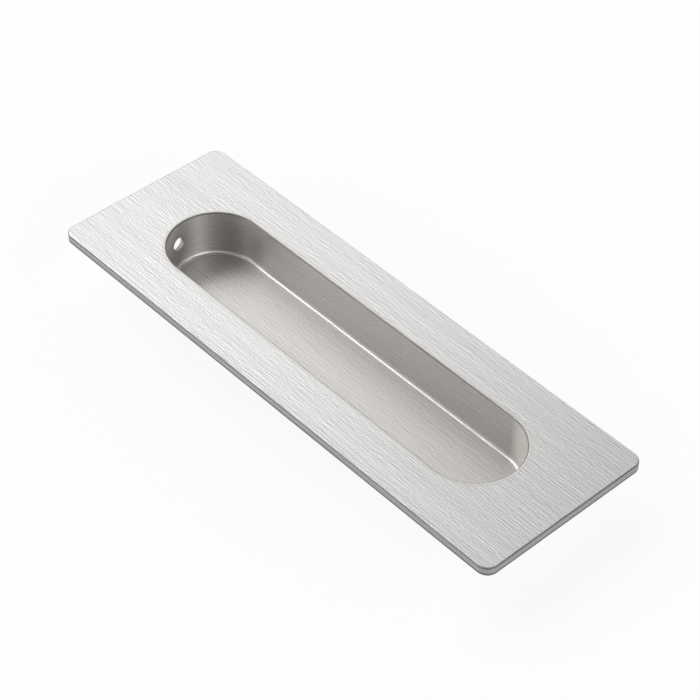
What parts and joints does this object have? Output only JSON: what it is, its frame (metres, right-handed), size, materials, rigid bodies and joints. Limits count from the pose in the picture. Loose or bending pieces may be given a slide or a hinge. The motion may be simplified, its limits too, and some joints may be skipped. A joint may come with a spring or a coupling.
{
  "type": "recessed pull handle",
  "caption": "Flat rectangular cover plate with rounded corners and a long round-ended finger recess, for mortising into a sliding or cupboard door.",
  "frame": {"origin": "centre of the cover plate's back, in the plane of the door's surface", "axes": "+X along the plate, +Y across it, +Z out of its face"},
  "size_m": [0.15, 0.05, 0.0142],
  "materials": {
    "brushed_plate": "satin stainless steel, brushed along its length",
    "brushed_cup": "satin stainless steel, brushed round the walls and along the floor"
  },
  "bodies": {
    "root": {"faceplate": "brushed_plate", "recess_cup": "brushed_cup"}
  },
  "joints": []
}
